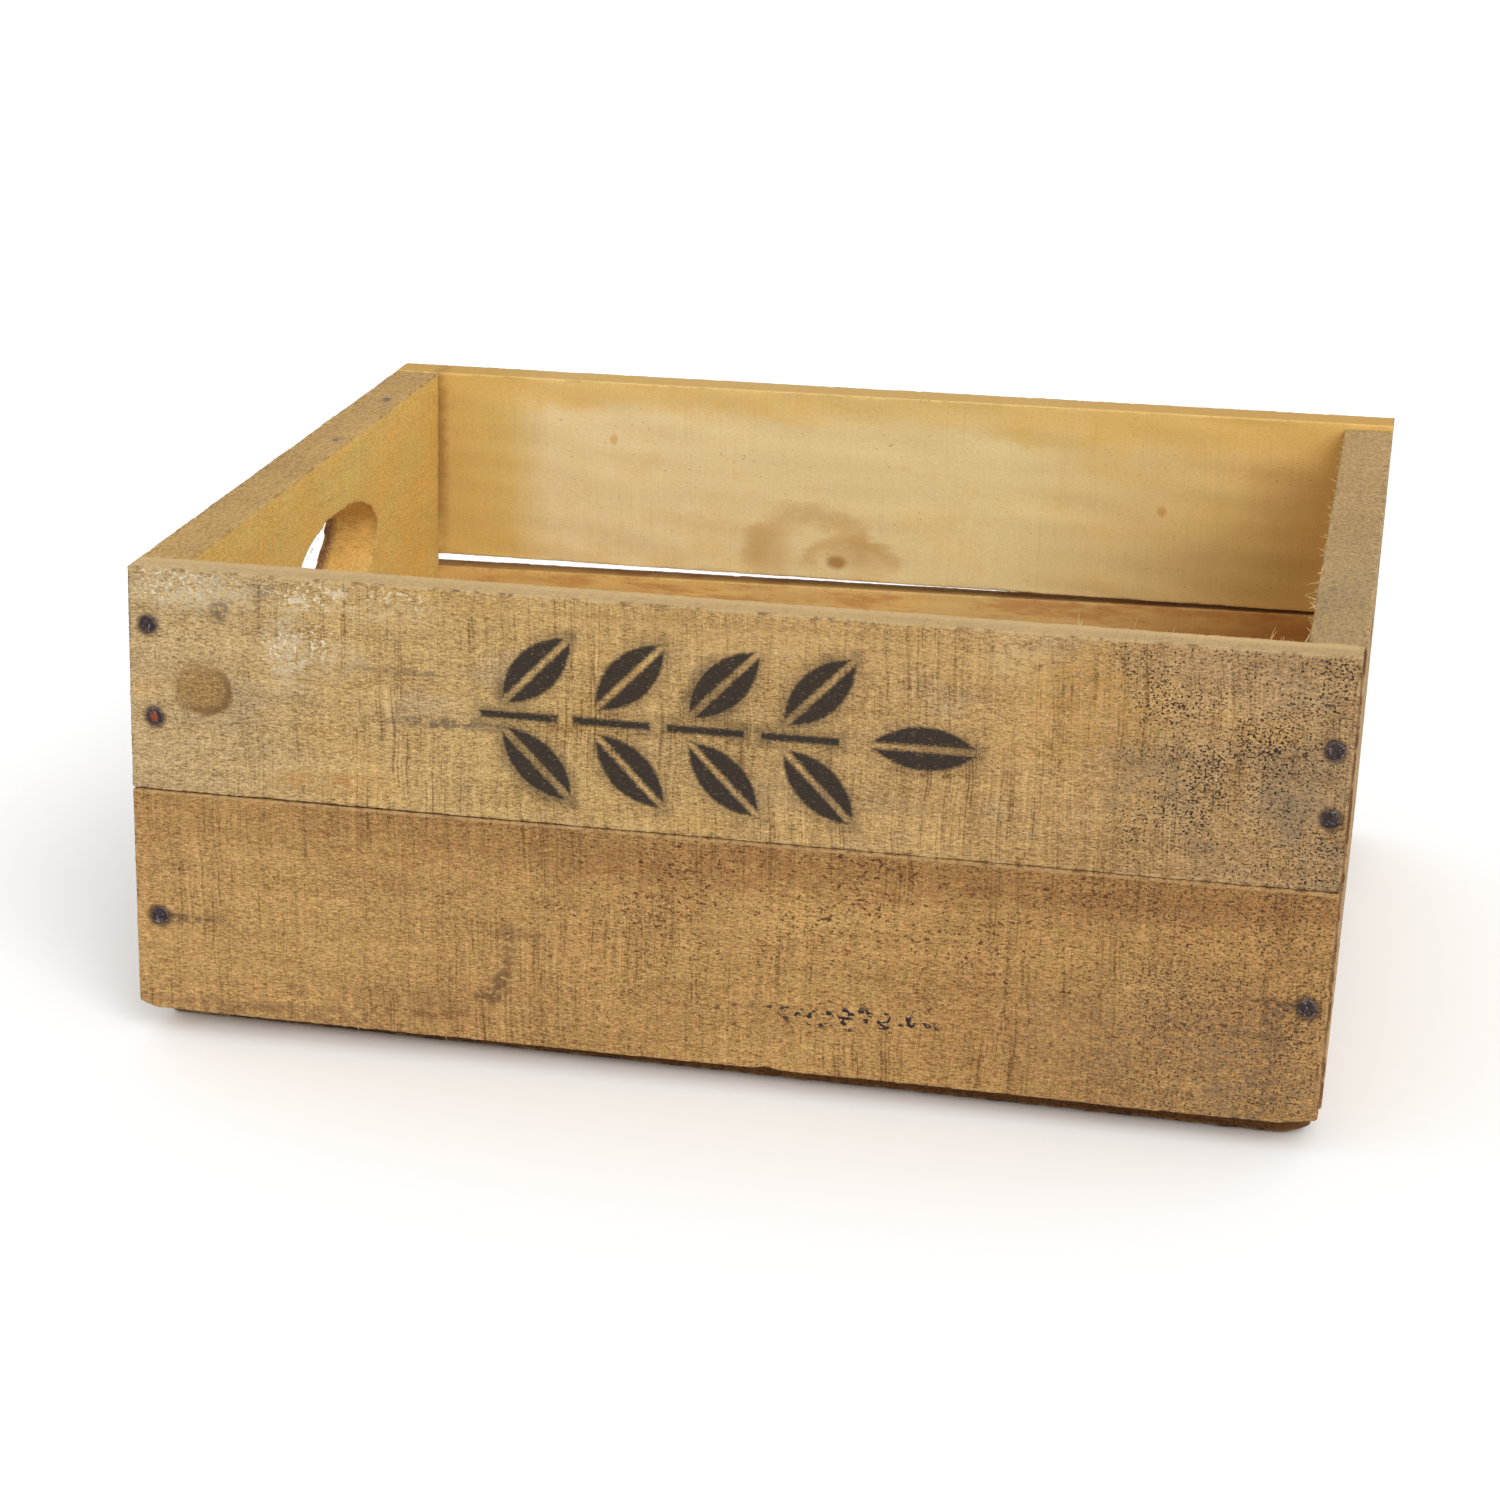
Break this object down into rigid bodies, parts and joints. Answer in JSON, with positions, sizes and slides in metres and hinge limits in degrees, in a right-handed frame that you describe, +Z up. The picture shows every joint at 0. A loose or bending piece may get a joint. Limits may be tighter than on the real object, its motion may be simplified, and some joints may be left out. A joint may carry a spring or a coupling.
{
  "type": "orchard crate",
  "caption": "Open-topped wooden orchard crate: sawn side and floor boards nailed to thick end panels with oval hand holes, and a sprayed stencil on the front.",
  "frame": {"origin": "on the ground, under the middle of the crate", "axes": "+X along the length to the right as the front is faced, +Y from the front face to the back, +Z up"},
  "size_m": [0.4, 0.3006, 0.17],
  "materials": {
    "tan_pine": "rough-sawn, weathered yellowish tan, dusty and matte",
    "brown_pine": "rough-sawn, weathered orange-brown, matte",
    "pale_pine": "sawn, clean yellow-cream inside, greyed outside, matte",
    "end_pine": "sawn, yellow inside, greyed on the rim, matte",
    "floor_pine": "rough-sawn, dark with dirt at the edges, matte",
    "nail_steel": "dull dark steel with a bluish cast and rust spots"
  },
  "bodies": {
    "root": {"back_lower_board": "pale_pine", "back_lower_left_nails": "nail_steel", "back_lower_right_nails": "nail_steel", "back_upper_board": "pale_pine", "back_upper_left_nails": "nail_steel", "back_upper_right_nails": "nail_steel", "floor_back_board": "floor_pine", "floor_back_left_nails": "nail_steel", "floor_back_right_nails": "nail_steel", "floor_front_board": "floor_pine", "floor_front_left_nails": "nail_steel", "floor_front_right_nails": "nail_steel", "floor_middle_board": "floor_pine", "floor_middle_left_nails": "nail_steel", "floor_middle_right_nails": "nail_steel", "front_lower_board": "brown_pine", "front_lower_left_nails": "nail_steel", "front_lower_right_nails": "nail_steel", "front_upper_board": "tan_pine", "front_upper_left_nails": "nail_steel", "front_upper_right_nails": "nail_steel", "left_end_panel": "end_pine", "right_end_panel": "end_pine"}
  },
  "joints": []
}
